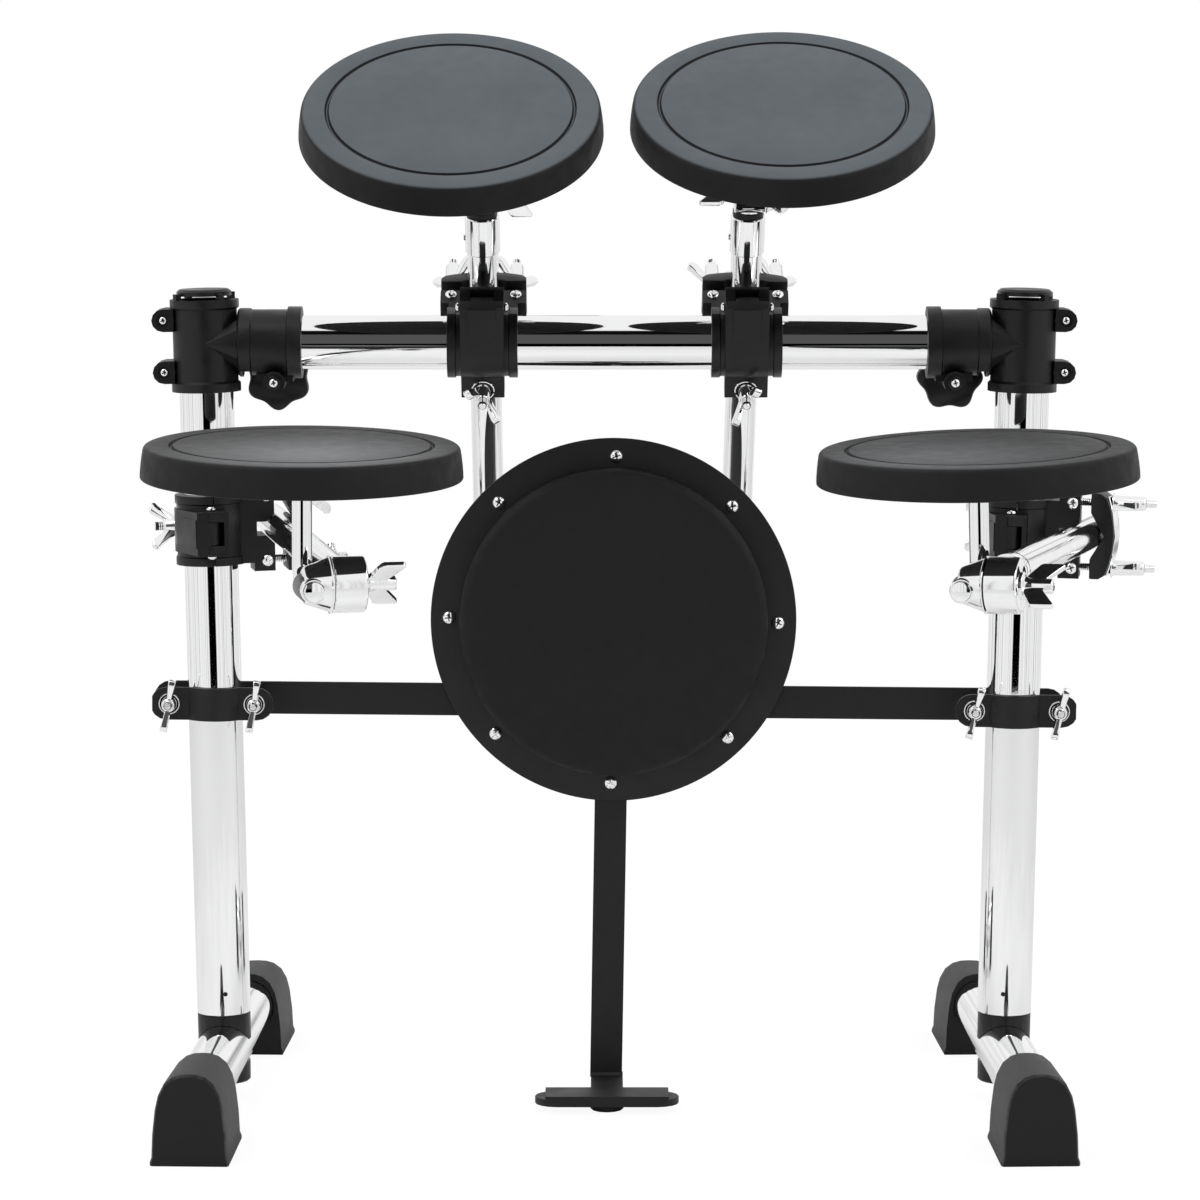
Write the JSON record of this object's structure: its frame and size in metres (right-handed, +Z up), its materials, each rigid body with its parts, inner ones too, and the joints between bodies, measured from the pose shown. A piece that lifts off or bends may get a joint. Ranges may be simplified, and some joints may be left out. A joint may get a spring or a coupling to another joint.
{
  "type": "practice pad drum kit",
  "caption": "Practice drum kit: round rubber pads on tilters and an upright bass pad, on a chrome tube rack with plastic clamps and rubber feet.",
  "frame": {"origin": "on the floor, at the middle of the whole kit's box in plan", "axes": "+X to the player's right, +Y away from the player, +Z up"},
  "size_m": [0.7124, 0.6038, 0.7574],
  "materials": {
    "black_plastic": "satin black moulded plastic",
    "black_rubber": "matte black rubber",
    "black_steel": "satin black paint",
    "chrome": "polished chrome plate on steel",
    "grey_rubber": "matte slate-grey rubber"
  },
  "bodies": {
    "rack": {"bass_cushion": "black_rubber", "bass_plate": "black_steel", "bass_strut": "black_steel", "left_base_tube": "chrome", "left_front_foot": "black_rubber", "left_post": "chrome", "left_rear_foot": "black_rubber", "left_saddle": "black_plastic", "left_strap": "black_steel", "left_tee": "black_plastic", "pedal_foot": "black_rubber", "rear_crossbar": "black_steel", "right_base_tube": "chrome", "right_front_foot": "black_rubber", "right_post": "chrome", "right_rear_foot": "black_rubber", "right_saddle": "black_plastic", "right_strap": "black_steel", "right_tee": "black_plastic", "top_bar": "chrome"},
    "left_star_knob": {"left_star_knob": "black_plastic"},
    "right_star_knob": {"right_star_knob": "black_plastic"},
    "left_outer_strap_nut": {"left_outer_strap_nut": "chrome"},
    "left_inner_strap_nut": {"left_inner_strap_nut": "chrome"},
    "right_inner_strap_nut": {"right_inner_strap_nut": "chrome"},
    "right_outer_strap_nut": {"right_outer_strap_nut": "chrome"},
    "upper_left_clamp": {"upper_left_clamp_body": "black_plastic", "upper_left_clamp_jaw": "black_plastic", "upper_left_grip_plate": "black_plastic"},
    "upper_left_closing_nut": {"upper_left_closing_nut": "chrome"},
    "upper_left_tube": {"upper_left_tube": "chrome"},
    "upper_left_tilter_base": {"upper_left_tilter_base": "chrome"},
    "upper_left_tilter_head": {"upper_left_tilter_head": "chrome"},
    "upper_left_pad": {"upper_left_pad": "grey_rubber", "upper_left_pad_rod": "chrome"},
    "upper_right_clamp": {"upper_right_clamp_body": "black_plastic", "upper_right_clamp_jaw": "black_plastic", "upper_right_grip_plate": "black_plastic"},
    "upper_right_closing_nut": {"upper_right_closing_nut": "chrome"},
    "upper_right_tube": {"upper_right_tube": "chrome"},
    "upper_right_tilter_base": {"upper_right_tilter_base": "chrome"},
    "upper_right_tilter_head": {"upper_right_tilter_head": "chrome"},
    "upper_right_pad": {"upper_right_pad": "grey_rubber", "upper_right_pad_rod": "chrome"},
    "lower_left_clamp": {"lower_left_clamp_body": "black_plastic", "lower_left_clamp_jaw": "black_plastic", "lower_left_grip_plate": "black_plastic"},
    "lower_left_closing_nut": {"lower_left_closing_nut": "chrome"},
    "lower_left_arm": {"lower_left_arm": "chrome"},
    "lower_left_tilter_head": {"lower_left_tilter_head": "chrome"},
    "lower_left_pad": {"lower_left_pad": "black_rubber", "lower_left_pad_rod": "chrome"},
    "lower_right_clamp": {"lower_right_clamp_body": "black_plastic", "lower_right_clamp_jaw": "black_plastic", "lower_right_grip_plate": "black_plastic"},
    "lower_right_closing_nut": {"lower_right_closing_nut": "chrome"},
    "lower_right_arm": {"lower_right_arm": "chrome"},
    "lower_right_tilter_head": {"lower_right_tilter_head": "chrome"},
    "lower_right_pad": {"lower_right_pad": "black_rubber", "lower_right_pad_rod": "chrome"}
  },
  "joints": [
    {"name": "left_star_knob_turn", "type": "hinge", "parent": "rack", "child": "left_star_knob", "pos_m": [-0.26437, 0.09745, 0.514], "axis": [0, -1, 0], "continuous": true},
    {"name": "right_star_knob_turn", "type": "hinge", "parent": "rack", "child": "right_star_knob", "pos_m": [0.21263, 0.09745, 0.514], "axis": [0, -1, 0], "continuous": true},
    {"name": "left_outer_strap_nut_turn", "type": "hinge", "parent": "rack", "child": "left_outer_strap_nut", "pos_m": [-0.34026, 0.06015, 0.28661], "axis": [0, -1, 0], "continuous": true},
    {"name": "left_inner_strap_nut_turn", "type": "hinge", "parent": "rack", "child": "left_inner_strap_nut", "pos_m": [-0.28026, 0.06015, 0.28605], "axis": [0, -1, 0], "continuous": true},
    {"name": "right_inner_strap_nut_turn", "type": "hinge", "parent": "rack", "child": "right_inner_strap_nut", "pos_m": [0.22852, 0.06015, 0.28135], "axis": [0, -1, 0], "continuous": true},
    {"name": "right_outer_strap_nut_turn", "type": "hinge", "parent": "rack", "child": "right_outer_strap_nut", "pos_m": [0.28852, 0.06015, 0.28079], "axis": [0, -1, 0], "continuous": true},
    {"name": "upper_left_clamp_slide", "type": "slide", "parent": "rack", "child": "upper_left_clamp", "axis": [1, 0, 0], "range_m": [-0.09, 0.004]},
    {"name": "upper_left_closing_nut_turn", "type": "hinge", "parent": "upper_left_clamp", "child": "upper_left_closing_nut", "pos_m": [-0.11847, 0.06804, 0.50468], "axis": [0, -0.8348, -0.5505], "continuous": true},
    {"name": "upper_left_tube_height", "type": "slide", "parent": "upper_left_clamp", "child": "upper_left_tube", "axis": [-0.0105, -0.3502, 0.9366], "range_m": [-0.018, 0.12]},
    {"name": "upper_left_tilter_swivel", "type": "hinge", "parent": "upper_left_tube", "child": "upper_left_tilter_base", "pos_m": [-0.11887, 0.09821, 0.60367], "axis": [-0.0105, -0.3502, 0.9366], "range_deg": [-40, 10]},
    {"name": "upper_left_tilt", "type": "hinge", "parent": "upper_left_tilter_base", "child": "upper_left_tilter_head", "pos_m": [-0.13013, 0.08099, 0.64976], "axis": [1, 0, 0], "range_deg": [-30, 25]},
    {"name": "upper_left_pad_roll", "type": "hinge", "parent": "upper_left_tilter_head", "child": "upper_left_pad", "pos_m": [-0.13863, 0.05603, 0.63298], "axis": [0, 0.8652, 0.5015], "range_deg": [-12, 12]},
    {"name": "upper_right_clamp_slide", "type": "slide", "parent": "rack", "child": "upper_right_clamp", "axis": [1, 0, 0], "range_m": [-0.004, 0.09]},
    {"name": "upper_right_closing_nut_turn", "type": "hinge", "parent": "upper_right_clamp", "child": "upper_right_closing_nut", "pos_m": [0.06693, 0.06804, 0.50468], "axis": [0, -0.8348, -0.5505], "continuous": true},
    {"name": "upper_right_tube_height", "type": "slide", "parent": "upper_right_clamp", "child": "upper_right_tube", "axis": [0.0227, -0.3501, 0.9364], "range_m": [-0.018, 0.12]},
    {"name": "upper_right_tilter_swivel", "type": "hinge", "parent": "upper_right_tube", "child": "upper_right_tilter_base", "pos_m": [0.06779, 0.09822, 0.60367], "axis": [0.0227, -0.3501, 0.9364], "range_deg": [-10, 40]},
    {"name": "upper_right_tilt", "type": "hinge", "parent": "upper_right_tilter_base", "child": "upper_right_tilter_head", "pos_m": [0.08016, 0.08099, 0.64974], "axis": [1, 0, 0], "range_deg": [-30, 25]},
    {"name": "upper_right_pad_roll", "type": "hinge", "parent": "upper_right_tilter_head", "child": "upper_right_pad", "pos_m": [0.09016, 0.05555, 0.63371], "axis": [0, 0.8796, 0.4756], "range_deg": [-12, 12]},
    {"name": "lower_left_clamp_swing", "type": "hinge", "parent": "rack", "child": "lower_left_clamp", "pos_m": [-0.31111, 0.07045, 0.4095], "axis": [-0.0187, 0, 0.9998], "range_deg": [-20, 20]},
    {"name": "lower_left_closing_nut_turn", "type": "hinge", "parent": "lower_left_clamp", "child": "lower_left_closing_nut", "pos_m": [-0.33824, 0.09472, 0.40899], "axis": [-0.9815, -0.1908, -0.0183], "continuous": true},
    {"name": "lower_left_arm_reach", "type": "slide", "parent": "lower_left_clamp", "child": "lower_left_arm", "axis": [0.2134, -0.9766, -0.0266], "range_m": [-0.06, 0.02]},
    {"name": "lower_left_tilt", "type": "hinge", "parent": "lower_left_arm", "child": "lower_left_tilter_head", "pos_m": [-0.21086, -0.21857, 0.40337], "axis": [0.9732, 0.23, 0], "range_deg": [-8, 35]},
    {"name": "lower_left_pad_roll", "type": "hinge", "parent": "lower_left_tilter_head", "child": "lower_left_pad", "pos_m": [-0.23101, -0.19244, 0.40273], "axis": [-0.2298, 0.9722, 0.0454], "range_deg": [-12, 12]},
    {"name": "lower_right_clamp_swing", "type": "hinge", "parent": "rack", "child": "lower_right_clamp", "pos_m": [0.25932, 0.07045, 0.4068], "axis": [0.0187, 0, 0.9998], "range_deg": [-20, 20]},
    {"name": "lower_right_closing_nut_turn", "type": "hinge", "parent": "lower_right_clamp", "child": "lower_right_closing_nut", "pos_m": [0.24158, 0.10223, 0.40713], "axis": [-0.9901, 0.1391, 0.0185], "continuous": true},
    {"name": "lower_right_arm_reach", "type": "slide", "parent": "lower_right_clamp", "child": "lower_right_arm", "axis": [-0.2652, -0.964, 0.02], "range_m": [-0.06, 0.02]},
    {"name": "lower_right_tilt", "type": "hinge", "parent": "lower_right_arm", "child": "lower_right_tilter_head", "pos_m": [0.21518, -0.23283, 0.40461], "axis": [0.9509, -0.309, 0.0175], "range_deg": [-8, 35]},
    {"name": "lower_right_pad_roll", "type": "hinge", "parent": "lower_right_tilter_head", "child": "lower_right_pad", "pos_m": [0.21254, -0.19406, 0.40399], "axis": [0.3079, 0.9503, 0.0454], "range_deg": [-12, 12]}
  ]
}
